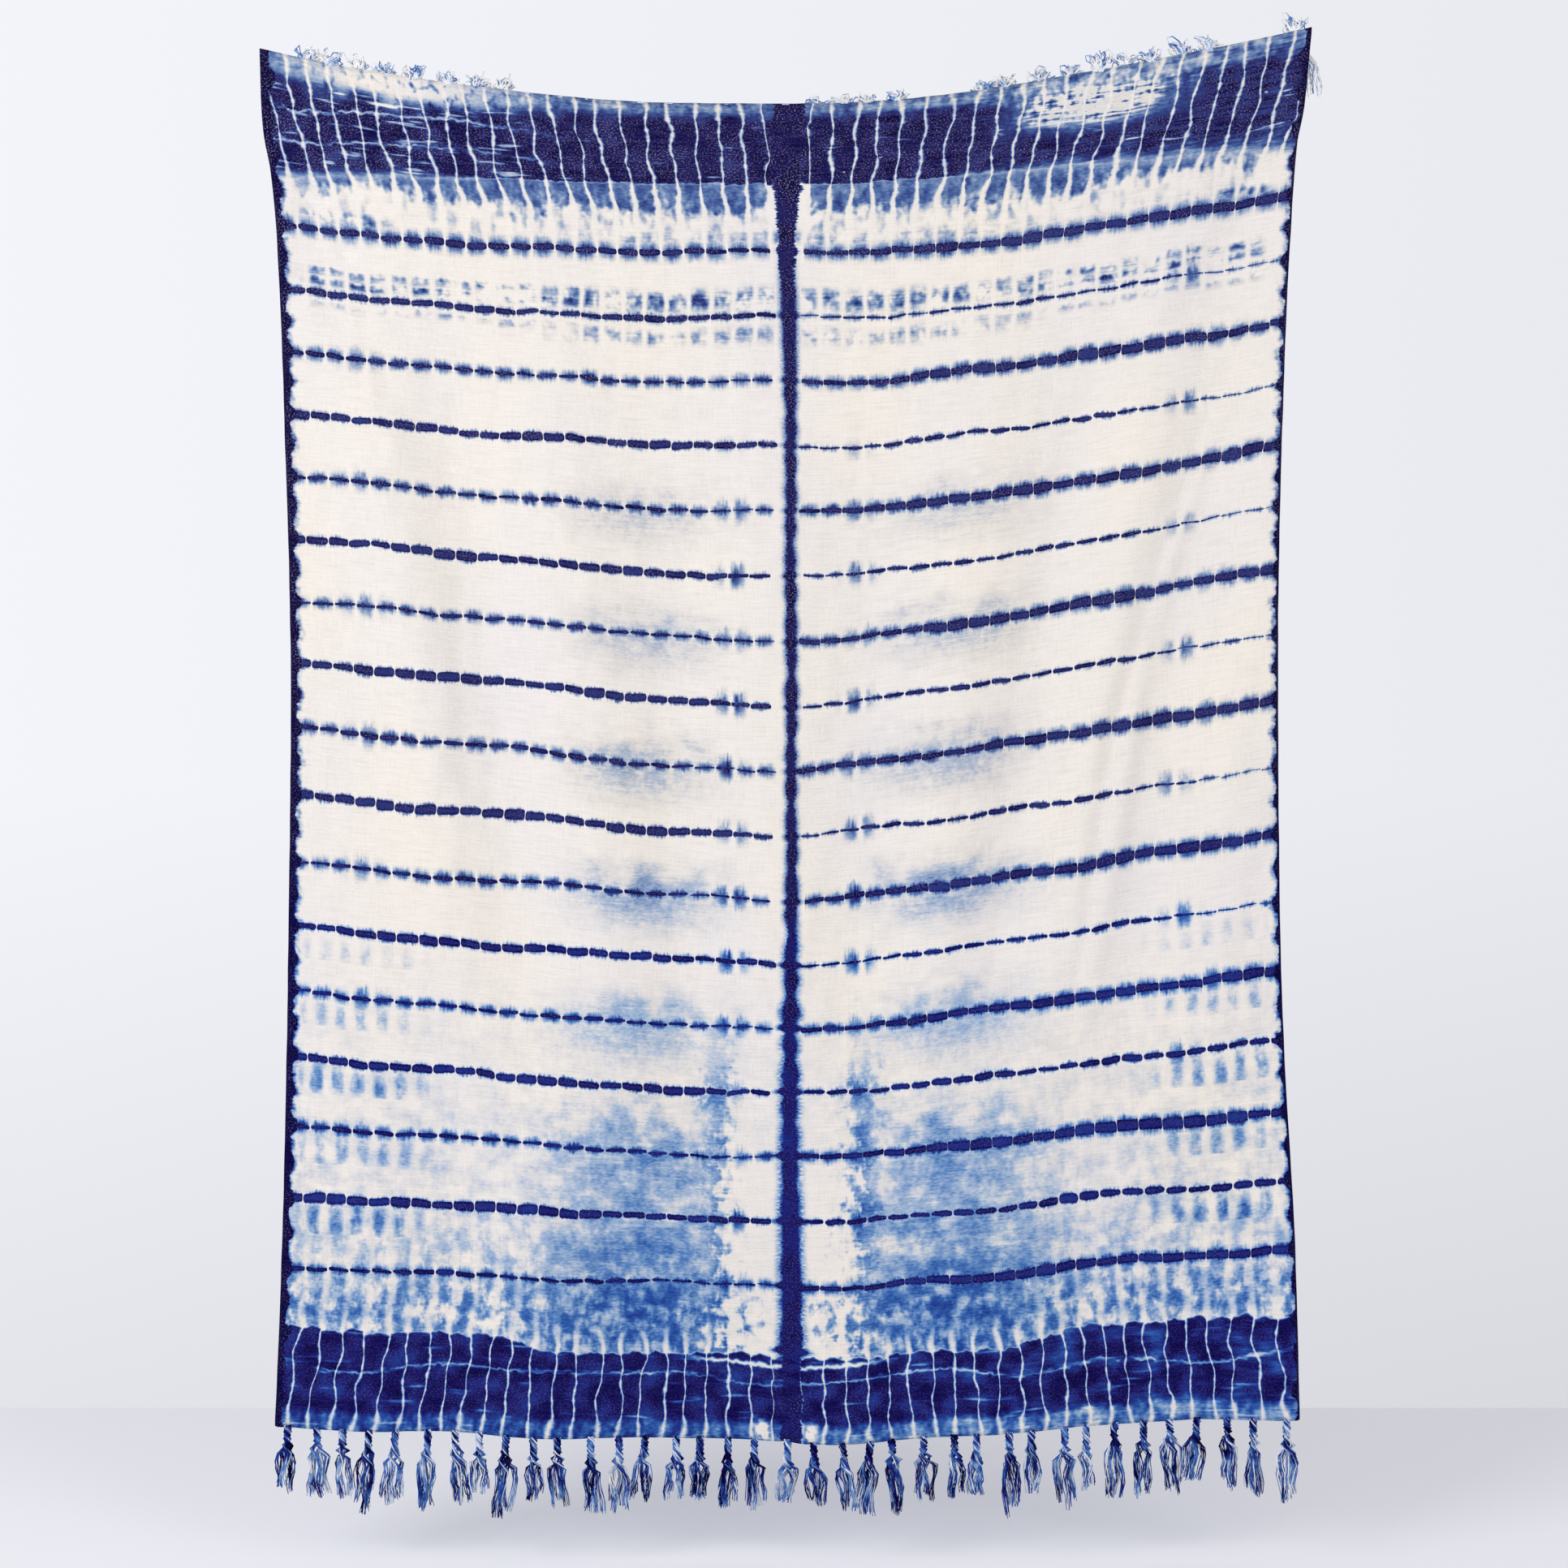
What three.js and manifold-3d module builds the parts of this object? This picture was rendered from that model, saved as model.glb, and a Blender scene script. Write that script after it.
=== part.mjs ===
// A shibori dyed cotton throw with a twisted fringe at both ends, hanging from its two top corners.
// Millimetres, +Z up. X runs along the top edge, and +Y points behind the cloth.
// The origin is on the middle of the top edge.
import * as THREE from "three";
import { mergeVertices } from "three/addons/utils/BufferGeometryUtils.js";
import Module from "manifold-3d";

// Driving dimensions of the cloth as woven
const clothWidth = 1300;
const clothLength = 1650;
const clothThickness = 1.5;
const halfWidth = clothWidth / 2;

// Fringe: the warp ends past each end of the weave, twisted into tassels
const tasselCount = 37;
const fringeLength = 95;
const headingHeight = 5;
const partingGap = 0.3;
const outermostTassel = 20;
const tasselScatter = 10;

// Each tassel is a few tapered locks. Widths are a lock's half widths along it, a pair is a range
// to vary in, and a share is measured along the tassel from its hem to its longest end.
const lowerTassels = {
  lengthShare: [0.84, 1.14],
  neckLength: [16, 24],
  lean: [-6, 6],
  bellyShare: 0.6,
  bellyBack: 2,
  tipBack: 3,
  middleWidths: [4.4, 3.2, 3.8, 1.5],
  sideStart: 1.6,
  sideOut: [7, 9.5],
  sideBack: [-3, 1],
  sideShare: [0.84, 1],
  sideWidths: [1.2, 3.3, 1.4],
};
const upperTassels = {
  lengthShare: [0.84, 1.12],
  leastStand: 5,
  extraStand: [0, 9],
  standFrom: [0.1, 0.7],
  overBack: [9, 12],
  turnRise: 1.5,
  hangStart: 4,
  leastBehind: 3,
  lean: [-2.5, 2.5],
  bellyShare: 0.4,
  mainWidths: [4.2, 3.6, 3.6, 3.4, 4, 1.6],
  sideStart: 2,
  sideOut: [9, 12],
  sideShare: [0.8, 0.9],
  sideWidths: [1.4, 3.8, 1.4],
};
const sideFlare = 1.2;
const mainSides = 4;
const sideSides = 3;

// Two lower tassels lean together, and the last upper one hangs outside the right corner
const leanOfLower = { 20: 8, 21: -8 };
const leanOfUpper = { 36: 24 };

// Edges: the selvedges curl back, and the top hem rolls back over the tension line
const selvedgeCurlWidth = 12;
const selvedgeCurlRadius = 9;
const hemRollWidth = 18;
const hemRollRadius = 24;
const gripHeight = 60;
const gripWidth = 45;
const looseHemShare = 0.2;
const looseHemFrom = 0.25;
const looseHemTo = 0.8;

// Folds fade in and out near their ends, in shares of their length
const foldFadeIn = [-0.15, 0.3];
const foldFadeOut = [1.25, 0.75];

// The outline as it hangs. Each row is one level down the cloth: its half widths, how far its
// ends stand above its middle, and how sharply that rise bends.
const levels = [
  { down: 0, left: 646, right: 650, riseLeft: 62, riseRight: 88, bendLeft: 2.2, bendRight: 1.5 },
  { down: 70, left: 643, right: 643, riseLeft: 50, riseRight: 82, bendLeft: 2.1, bendRight: 1.5 },
  { down: 185, left: 630, right: 631, riseLeft: 35, riseRight: 72, bendLeft: 2.0, bendRight: 1.5 },
  { down: 500, left: 617, right: 617, riseLeft: 48, riseRight: 84, bendLeft: 1.4, bendRight: 1.3 },
  { down: 750, left: 611, right: 612, riseLeft: 56, riseRight: 94, bendLeft: 1.1, bendRight: 1.1 },
  { down: 1000, left: 613, right: 613, riseLeft: 49, riseRight: 80, bendLeft: 1.1, bendRight: 1.1 },
  { down: 1225, left: 617, right: 618, riseLeft: 45, riseRight: 70, bendLeft: 1.3, bendRight: 1.2 },
  { down: 1450, left: 624, right: 630, riseLeft: 27, riseRight: 50, bendLeft: 1.6, bendRight: 1.5 },
  { down: 1650, left: 633, right: 635, riseLeft: 18, riseRight: 34, bendLeft: 2.0, bendRight: 1.7 },
];
const centreRounding = 0.1;

// Soft folds. Each runs from one place on the cloth to another, as across and down in the weave;
// spread is its half width, and a positive depth stands out to the front.
const folds = [
  { from: [-630, 40], to: [-520, 400], spread: 44, depth: -8 },
  { from: [-560, 230], to: [-430, 1000], spread: 58, depth: 13 },
  { from: [-440, 330], to: [-330, 1250], spread: 55, depth: -12 },
  { from: [-300, 260], to: [-215, 1200], spread: 60, depth: 11 },
  { from: [-150, 420], to: [-120, 1330], spread: 52, depth: -9 },
  { from: [-30, 250], to: [-20, 1250], spread: 62, depth: 8 },
  { from: [120, 380], to: [90, 1350], spread: 52, depth: -9 },
  { from: [270, 260], to: [190, 1180], spread: 58, depth: 11 },
  { from: [400, 330], to: [275, 1150], spread: 50, depth: -12 },
  { from: [500, 240], to: [360, 1090], spread: 46, depth: 13 },
  { from: [590, 330], to: [450, 1180], spread: 46, depth: -11 },
  { from: [600, 760], to: [540, 1300], spread: 48, depth: 9 },
  { from: [630, 40], to: [540, 330], spread: 44, depth: -9 },
];

// The lower hem hangs in loose waves that die out up the cloth, and take up some of its length
const hemWaves = [
  { length: 520, shift: 60, depth: 13 },
  { length: 310, shift: -40, depth: 8 },
  { length: 195, shift: 20, depth: 4 },
];
const hemWaveStart = 1000;
const hemWaveLift = 4;
const hemWaveLiftLength = 640;
const hemTakeUp = 8;
const hemTakeUpStart = 900;

// A sharp valley where the cloth was folded in half for dyeing, deepest at the lower hem
const centreCrease = { across: 4, start: 1080, spread: 9, depth: 6 };

const clamp = (x, low, high) => Math.min(high, Math.max(low, x));
const smooth = (low, high, x) => {
  const t = clamp((x - low) / (high - low), 0, 1);
  return t * t * (3 - 2 * t);
};

// A repeatable number from 0 to 1 that looks random, one for each pair of whole numbers
function uneven(index, salt) {
  const wave = Math.sin(index * 12.9898 + salt * 78.233) * 43758.5453;
  return wave - Math.floor(wave);
}

const within = ([low, high], index, salt) => low + (high - low) * uneven(index, salt);

// One column of the table of levels, read at any height through a smooth curve
function levelValue(name, down) {
  const at = clamp(down, 0, clothLength);
  let i = 0;
  while (i < levels.length - 2 && levels[i + 1].down < at) i++;
  const low = levels[i];
  const high = levels[i + 1];
  const slope = (a, b) => (b[name] - a[name]) / (b.down - a.down);
  const before = levels[Math.max(i - 1, 0)];
  const after = levels[Math.min(i + 2, levels.length - 1)];
  const middle = slope(low, high);
  const startSlope = i > 0 ? (slope(before, low) + middle) / 2 : middle;
  const endSlope = i < levels.length - 2 ? (slope(high, after) + middle) / 2 : middle;
  const span = high.down - low.down;
  const t = (at - low.down) / span;
  return (
    low[name] * (1 + 2 * t) * (1 - t) ** 2 +
    high[name] * t * t * (3 - 2 * t) +
    span * (startSlope * t * (1 - t) ** 2 - endSlope * t * t * (1 - t))
  );
}

// How far a fold brings the cloth forward at one place
function foldDepth(fold, across, down) {
  const alongAcross = fold.to[0] - fold.from[0];
  const alongDown = fold.to[1] - fold.from[1];
  const length = Math.hypot(alongAcross, alongDown);
  const offAcross = across - fold.from[0];
  const offDown = down - fold.from[1];
  const along = (offAcross * alongAcross + offDown * alongDown) / length ** 2;
  const aside = (offAcross * alongDown - offDown * alongAcross) / length;
  const fade = smooth(...foldFadeIn, along) * smooth(...foldFadeOut, along);
  return fold.depth * fade * Math.exp(-((aside / fold.spread) ** 2));
}

// The share of a place that is pinched flat by the hold at a top corner
const gripShare = (across, down) =>
  smooth(halfWidth - 2 * gripWidth, halfWidth - gripWidth, Math.abs(across)) *
  smooth(2 * gripHeight, gripHeight, down);

// How far the cloth stands behind the plane of the two holds
function depthAt(across, down) {
  let forward = 0;
  for (const fold of folds) forward += foldDepth(fold, across, down);
  const loose = smooth(hemWaveStart, clothLength, down);
  for (const wave of hemWaves)
    forward += wave.depth * loose * Math.sin((2 * Math.PI * (across - wave.shift)) / wave.length);
  const creased = smooth(centreCrease.start, clothLength, down);
  const offCrease = (across - centreCrease.across) / centreCrease.spread;
  forward -= centreCrease.depth * creased * Math.exp(-(offCrease ** 2));
  return -forward * (1 - gripShare(across, down));
}

// Where a place in the weave hangs, before its edges curl
function hang(across, down) {
  const share = across / halfWidth;
  const isLeft = across < 0;
  const half = levelValue(isLeft ? "left" : "right", down);
  const rise = levelValue(isLeft ? "riseLeft" : "riseRight", down);
  const bend = levelValue(isLeft ? "bendLeft" : "bendRight", down);
  const rounded = Math.hypot(share, centreRounding) - centreRounding;
  const lift = rise * (rounded / (Math.hypot(1, centreRounding) - centreRounding)) ** bend;
  const wave = Math.sin((2 * Math.PI * (across + hemWaveLiftLength / 4)) / hemWaveLiftLength);
  const hemDrop = hemWaveLift * smooth(hemWaveStart, clothLength, down) * wave;
  const takenUp = hemTakeUp * smooth(hemTakeUpStart, clothLength, down);
  return new THREE.Vector3(share * half, depthAt(across, down), lift + takenUp - hemDrop - down);
}

// Where a place in the weave hangs, with the selvedges curled and the top hem rolled back
function drape(across, down) {
  const flatAcross = halfWidth - selvedgeCurlWidth;
  const curl = Math.max(0, Math.abs(across) - flatAcross) * (1 - gripShare(across, down));
  const heldAcross = Math.abs(across) - curl;
  const tight = smooth(looseHemFrom, looseHemTo, Math.abs(across) / halfWidth);
  const looseHem = 1 - (1 - looseHemShare) * tight;
  const roll = Math.max(0, hemRollWidth - down) * looseHem * (1 - gripShare(across, down));
  const point = hang(Math.sign(across) * heldAcross, down + roll);
  const curlAngle = curl / selvedgeCurlRadius;
  const rollAngle = roll / hemRollRadius;
  point.x += Math.sign(across) * selvedgeCurlRadius * Math.sin(curlAngle);
  point.y += selvedgeCurlRadius * (1 - Math.cos(curlAngle)) + hemRollRadius * (1 - Math.cos(rollAngle));
  point.z += hemRollRadius * Math.sin(rollAngle);
  return point;
}

// The direction out of the cloth's front, and the direction down its weave
function frontAndDown(across, down) {
  const step = 1;
  const side = drape(across + step, down).sub(drape(across - step, down));
  const fall = drape(across, down + step).sub(drape(across, down - step));
  return { front: side.cross(fall).negate().normalize(), fall: fall.normalize() };
}

// A sheet of the weave between two heights, with its own columns and rows
function sheetGeometry(columns, rows) {
  const box = new THREE.BoxGeometry(1, 1, 1, columns.length - 1, rows.length - 1, 1);
  const place = box.getAttribute("position");
  for (let i = 0; i < place.count; i++) {
    const column = Math.round((place.getX(i) + 0.5) * (columns.length - 1));
    const row = Math.round((0.5 - place.getY(i)) * (rows.length - 1));
    const across = columns[column];
    const down = rows[row];
    const { front } = frontAndDown(across, down);
    const point = drape(across, down).addScaledVector(front, place.getZ(i) * clothThickness);
    place.setXYZ(i, point.x, point.y, point.z);
  }
  box.computeVertexNormals();
  return box;
}

// Columns close together over the curled selvedges, and even between them
function columnPlaces() {
  const curlSteps = 3;
  const innerColumns = 40;
  const flat = halfWidth - selvedgeCurlWidth;
  const places = [];
  for (let i = 0; i < curlSteps; i++) places.push(-halfWidth + (selvedgeCurlWidth * i) / curlSteps);
  for (let i = 0; i <= innerColumns; i++) places.push(-flat + (2 * flat * i) / innerColumns);
  for (let i = 1; i <= curlSteps; i++) places.push(flat + (selvedgeCurlWidth * i) / curlSteps);
  return places;
}

// Rows close together over the rolled hem, one along the foot of the holds, and even below it
function rowPlaces() {
  const rollSteps = 3;
  const innerRows = 27;
  const places = [];
  for (let i = 0; i <= rollSteps; i++) places.push((hemRollWidth * i) / rollSteps);
  for (let i = 0; i <= innerRows; i++)
    places.push(gripHeight + ((clothLength - gripHeight) * i) / innerRows);
  return places;
}

// A tapered prism with a few flat sides that follows a path of points
function lockGeometry(path, widths, sides) {
  const steps = path.length - 1;
  const rod = new THREE.CylinderGeometry(1, 1, 1, sides, steps, false);
  const place = rod.getAttribute("position");
  const acrossAxis = new THREE.Vector3(1, 0, 0);
  for (let i = 0; i < place.count; i++) {
    const station = Math.round((0.5 - place.getY(i)) * steps);
    const before = path[Math.max(station - 1, 0)];
    const after = path[Math.min(station + 1, steps)];
    const tangent = after.clone().sub(before).normalize();
    const thick = new THREE.Vector3().crossVectors(tangent, acrossAxis).normalize();
    const wide = new THREE.Vector3().crossVectors(thick, tangent);
    const point = path[station]
      .clone()
      .addScaledVector(wide, place.getX(i) * widths[station])
      .addScaledVector(thick, place.getZ(i) * widths[station]);
    place.setXYZ(i, point.x, point.y, point.z);
  }
  return rod;
}

const wasm = await Module();
wasm.setup();

// A closed geometry as a solid that can be joined to others
function solidOf(geometry) {
  const bare = geometry.clone();
  bare.deleteAttribute("normal");
  bare.deleteAttribute("uv");
  const merged = mergeVertices(bare, 1e-3);
  return new wasm.Manifold(
    new wasm.Mesh({
      numProp: 3,
      vertProperties: new Float32Array(merged.getAttribute("position").array),
      triVerts: new Uint32Array(merged.index.array),
    }),
  );
}

// The joined solids as one geometry
function joined(solids) {
  let whole = solids[0];
  for (const solid of solids.slice(1)) whole = whole.add(solid);
  const mesh = whole.getMesh();
  const geometry = new THREE.BufferGeometry();
  geometry.setAttribute("position", new THREE.BufferAttribute(mesh.vertProperties, 3));
  geometry.setIndex(new THREE.BufferAttribute(mesh.triVerts, 1));
  geometry.computeVertexNormals();
  return geometry;
}

// Where the tassels leave an end of the weave, unevenly spaced
function tasselAcross(index, salt) {
  const outermost = halfWidth - outermostTassel;
  const even = -outermost + (2 * outermost * index) / (tasselCount - 1);
  const isEnd = index === 0 || index === tasselCount - 1;
  return isEnd ? even : even + tasselScatter * (uneven(index, salt) - 0.5);
}

// Lower fringe: each tassel has a twisted neck that runs on as its middle lock, and a lock
// parts from it on each side
function lowerTassel(index) {
  const sizes = lowerTassels;
  const root = drape(tasselAcross(index, 1), clothLength + partingGap + headingHeight / 2);
  const length = fringeLength * within(sizes.lengthShare, index, 3);
  const neckShare = within(sizes.neckLength, index, 2) / length;
  const lean = leanOfLower[index] ?? within(sizes.lean, index, 4);
  const at = (share, aside, back) =>
    new THREE.Vector3(root.x + lean * share + aside, root.y + back, root.z - length * share);
  const belly = at(sizes.bellyShare, 0, sizes.bellyBack);
  const middle = [at(0, 0, 0), at(neckShare, 0, 0), belly, at(1, 0, sizes.tipBack)];
  const parts = [lockGeometry(middle, sizes.middleWidths, mainSides)];
  for (const side of [-1, 1]) {
    const out = side * within(sizes.sideOut, index + side, 5);
    const back = within(sizes.sideBack, index + side, 6);
    const end = within(sizes.sideShare, index + side, 7);
    const start = at(neckShare, side * sizes.sideStart, 0);
    const path = [start, at(sizes.bellyShare, out, back), at(end, out * sideFlare, back)];
    parts.push(lockGeometry(path, sizes.sideWidths, sideSides));
  }
  return parts;
}

// Upper fringe: each tassel stands up from the hem, falls over it and hangs behind the cloth,
// where one lock parts from it
function upperTassel(index) {
  const sizes = upperTassels;
  const across = tasselAcross(index, 8);
  const start = -partingGap - headingHeight / 2;
  const root = drape(across, start);
  const { fall } = frontAndDown(across, start);
  const outward = smooth(...sizes.standFrom, Math.abs(across) / halfWidth);
  const stand = sizes.leastStand + within(sizes.extraStand, index, 9) * outward;
  const overBack = within(sizes.overBack, index, 10);
  const length = fringeLength * within(sizes.lengthShare, index, 11) - stand - overBack;
  const crest = root.clone().addScaledVector(fall, -stand);
  const behind = (below, aside) => {
    const onCloth = drape(across, below);
    const back = Math.max(onCloth.y + overBack, crest.y + sizes.leastBehind);
    return new THREE.Vector3(root.x + aside, back, onCloth.z);
  };
  const lean = leanOfUpper[index] ?? within(sizes.lean, index, 12);
  const top = behind(sizes.hangStart, 0);
  const turn = crest.clone().lerp(top, 0.5);
  turn.z = crest.z + sizes.turnRise;
  const bellyBelow = sizes.hangStart + length * sizes.bellyShare;
  const belly = behind(bellyBelow, lean);
  const tip = behind(sizes.hangStart + length, lean);
  const parts = [lockGeometry([root, crest, turn, top, belly, tip], sizes.mainWidths, mainSides)];
  const side = uneven(index, 13) < 0.5 ? -1 : 1;
  const out = side * within(sizes.sideOut, index, 14);
  const end = sizes.hangStart + length * within(sizes.sideShare, index, 15);
  const path = [
    behind(sizes.sideStart, side * sizes.sideStart),
    behind(bellyBelow, lean + out),
    behind(end, lean + out * sideFlare),
  ];
  parts.push(lockGeometry(path, sizes.sideWidths, sideSides));
  return parts;
}

// The fringe of one end: a narrow heading along the weave, with every tassel fused into it
function fringeGeometry(rows, tassel) {
  const solids = [solidOf(sheetGeometry(columnPlaces(), rows))];
  for (let i = 0; i < tasselCount; i++)
    for (const part of tassel(i)) solids.push(solidOf(part));
  return joined(solids);
}

const dyedCotton = new THREE.MeshStandardMaterial({ color: 0xe9e4de, roughness: 0.9, metalness: 0 });
const fringeYarn = new THREE.MeshStandardMaterial({ color: 0x3b4f8c, roughness: 0.95, metalness: 0 });

const throwGroup = new THREE.Group();

const cloth = new THREE.Mesh(sheetGeometry(columnPlaces(), rowPlaces()), dyedCotton);
cloth.name = "cloth";
throwGroup.add(cloth);

const upperRows = [-partingGap - headingHeight, -partingGap];
const upperFringe = new THREE.Mesh(fringeGeometry(upperRows, upperTassel), fringeYarn);
upperFringe.name = "fringe_top";
throwGroup.add(upperFringe);

const lowerRows = [clothLength + partingGap, clothLength + partingGap + headingHeight];
const lowerFringe = new THREE.Mesh(fringeGeometry(lowerRows, lowerTassel), fringeYarn);
lowerFringe.name = "fringe_bottom";
throwGroup.add(lowerFringe);

export default throwGroup;
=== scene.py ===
import math

import bmesh
import bpy
import numpy as np
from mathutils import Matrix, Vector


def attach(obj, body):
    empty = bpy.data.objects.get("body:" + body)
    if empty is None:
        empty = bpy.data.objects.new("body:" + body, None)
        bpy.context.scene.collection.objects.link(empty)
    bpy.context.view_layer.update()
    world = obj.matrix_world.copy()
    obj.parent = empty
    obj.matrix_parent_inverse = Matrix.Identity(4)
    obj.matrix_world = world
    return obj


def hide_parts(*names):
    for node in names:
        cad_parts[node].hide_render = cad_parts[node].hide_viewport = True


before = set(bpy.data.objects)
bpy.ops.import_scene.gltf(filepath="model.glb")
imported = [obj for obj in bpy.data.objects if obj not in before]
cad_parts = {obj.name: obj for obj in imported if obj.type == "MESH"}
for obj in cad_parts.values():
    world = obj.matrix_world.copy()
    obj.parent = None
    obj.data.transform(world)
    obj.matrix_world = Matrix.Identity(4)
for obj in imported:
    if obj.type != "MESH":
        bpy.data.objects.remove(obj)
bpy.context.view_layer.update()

# The cloth: one width of plain cotton gauze, hung by its two top corners. Its top edge sags between
# them, the side edges curl back, soft folds run down from the corners and the lower hem hangs loose.
# It is 5 mm longer at each end than the solid, over the narrow strips that hold the fringes' roots.
WEAVE_WIDTH = 1.300
WEAVE_LENGTH = 1.650
HALF_WIDTH = WEAVE_WIDTH / 2
CLOTH_THICKNESS = 0.0015
ROOT_STRIP = 0.0053
CURL_WIDTH = 0.012
CURL_RADIUS = 0.009
ROLL_WIDTH = 0.018
ROLL_RADIUS = 0.024
GRIP_HEIGHT = 0.060
GRIP_WIDTH = 0.045
CENTRE_ROUNDING = 0.1
CLOTH_COLUMNS = 196
CLOTH_ROWS = 228

# The dye's three materials meet at these distances down the cloth
FINISH_STARTS = (0.305, 1.023)

# Each row is one level down the cloth: its half widths, how far its ends stand above its middle,
# and how sharply that rise bends.
LEVEL_COLUMNS = ("down", "left", "right", "rise_left", "rise_right", "bend_left", "bend_right")
LEVELS = (
    (0.000, 0.646, 0.650, 0.062, 0.088, 2.2, 1.5),
    (0.070, 0.643, 0.643, 0.050, 0.082, 2.1, 1.5),
    (0.185, 0.630, 0.631, 0.035, 0.072, 2.0, 1.5),
    (0.500, 0.617, 0.617, 0.048, 0.084, 1.4, 1.3),
    (0.750, 0.611, 0.612, 0.056, 0.094, 1.1, 1.1),
    (1.000, 0.613, 0.613, 0.049, 0.080, 1.1, 1.1),
    (1.225, 0.617, 0.618, 0.045, 0.070, 1.3, 1.2),
    (1.450, 0.624, 0.630, 0.027, 0.050, 1.6, 1.5),
    (1.650, 0.633, 0.635, 0.018, 0.034, 2.0, 1.7),
)

# Soft folds, each from one place in the weave to another: across, down, across, down, half width,
# and how far it stands out to the front. The last ones are lighter creases, too fine for the solid.
FOLDS = (
    (-0.630, 0.040, -0.520, 0.400, 0.044, -0.008),
    (-0.560, 0.230, -0.430, 1.000, 0.058, 0.013),
    (-0.440, 0.330, -0.330, 1.250, 0.055, -0.012),
    (-0.300, 0.260, -0.215, 1.200, 0.060, 0.011),
    (-0.150, 0.420, -0.120, 1.330, 0.052, -0.009),
    (-0.030, 0.250, -0.020, 1.250, 0.062, 0.008),
    (0.120, 0.380, 0.090, 1.350, 0.052, -0.009),
    (0.270, 0.260, 0.190, 1.180, 0.058, 0.011),
    (0.400, 0.330, 0.275, 1.150, 0.050, -0.012),
    (0.500, 0.240, 0.360, 1.090, 0.046, 0.013),
    (0.590, 0.330, 0.450, 1.180, 0.046, -0.011),
    (0.600, 0.760, 0.540, 1.300, 0.048, 0.009),
    (0.630, 0.040, 0.540, 0.330, 0.044, -0.009),
    (0.585, 0.400, 0.480, 0.690, 0.013, 0.0042),
    (0.555, 0.440, 0.420, 0.860, 0.012, -0.0040),
    (0.610, 0.600, 0.500, 1.020, 0.012, -0.0036),
    (0.470, 0.760, 0.400, 1.160, 0.014, 0.0042),
    (0.440, 0.780, 0.372, 1.180, 0.012, -0.0036),
    (-0.600, 0.120, -0.520, 0.420, 0.012, 0.0018),
    (-0.430, 0.640, -0.415, 0.900, 0.012, -0.0022),
    (-0.250, 0.820, -0.245, 1.100, 0.013, 0.0020),
    (0.600, 0.100, 0.480, 0.300, 0.012, 0.0020),
)

# The lower hem hangs loose. Its waves: length, shift along it, and depth; then how far the hem rises
# and falls along the cloth, and how far the waves take it up.
HEM_WAVES = ((0.520, 0.060, 0.013), (0.310, -0.040, 0.008), (0.195, 0.020, 0.004))
HEM_WAVE_START = 1.000
HEM_LIFT = 0.004
HEM_LIFT_LENGTH = 0.640
HEM_TAKE_UP = 0.008
HEM_TAKE_UP_START = 0.900

# The sharp crease where the cloth was folded in half, deeper towards the lower hem
CREASE_ACROSS = 0.004
CREASE_START = 1.080
CREASE_SPREAD = 0.009
CREASE_DEPTH = 0.006

# Gauze puckers a little all over: waves per metre across and down, phase, and depth
PUCKERS = (
    (21.0, 5.0, 0.3, 0.00040),
    (13.0, -9.0, 1.9, 0.00045),
    (34.0, 3.0, 4.1, 0.00022),
    (7.0, 17.0, 2.6, 0.00040),
    (27.0, -21.0, 5.2, 0.00018),
)


def smooth(low, high, x):
    t = np.clip((x - low) / (high - low), 0, 1)
    return t * t * (3 - 2 * t)


def uneven(index, salt):
    """A repeatable number from 0 to 1 that looks random, one for each pair of whole numbers."""
    wave = math.sin(index * 12.9898 + salt * 78.233) * 43758.5453
    return wave - math.floor(wave)


def level_value(name, down):
    """One column of the levels, read at any height through a smooth curve."""
    downs = np.array([row[0] for row in LEVELS])
    values = np.array([row[LEVEL_COLUMNS.index(name)] for row in LEVELS])
    at = np.clip(down, 0, WEAVE_LENGTH)
    i = np.clip(np.searchsorted(downs, at, side="left") - 1, 0, len(downs) - 2)
    slopes = np.diff(values) / np.diff(downs)
    middle = slopes[i]
    start = np.where(i > 0, (slopes[np.maximum(i - 1, 0)] + middle) / 2, middle)
    last = len(slopes) - 1
    end = np.where(i < last, (slopes[np.minimum(i + 1, last)] + middle) / 2, middle)
    span = downs[i + 1] - downs[i]
    t = (at - downs[i]) / span
    ends = values[i] * (1 + 2 * t) * (1 - t) ** 2 + values[i + 1] * t * t * (3 - 2 * t)
    return ends + span * (start * t * (1 - t) ** 2 - end * t * t * (1 - t))


def grip_share(across, down):
    """The share of a place that the hold at a top corner pinches flat."""
    inward = smooth(HALF_WIDTH - 2 * GRIP_WIDTH, HALF_WIDTH - GRIP_WIDTH, np.abs(across))
    return inward * smooth(2 * GRIP_HEIGHT, GRIP_HEIGHT, down)


def depth_at(across, down):
    """How far the cloth stands behind the plane of the two holds."""
    forward = 0 * across
    for from_across, from_down, to_across, to_down, spread, depth in FOLDS:
        along_across, along_down = to_across - from_across, to_down - from_down
        length = math.hypot(along_across, along_down)
        off_across, off_down = across - from_across, down - from_down
        along = (off_across * along_across + off_down * along_down) / length**2
        aside = (off_across * along_down - off_down * along_across) / length
        fade = smooth(-0.15, 0.3, along) * smooth(1.25, 0.75, along)
        forward = forward + depth * fade * np.exp(-((aside / spread) ** 2))
    loose = smooth(HEM_WAVE_START, WEAVE_LENGTH, down)
    for length, shift, depth in HEM_WAVES:
        forward = forward + depth * loose * np.sin(2 * math.pi * (across - shift) / length)
    creased = smooth(CREASE_START, WEAVE_LENGTH, down)
    off_crease = (across - CREASE_ACROSS) / CREASE_SPREAD
    forward = forward - CREASE_DEPTH * creased * np.exp(-(off_crease**2))
    return -forward * (1 - grip_share(across, down))


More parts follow.
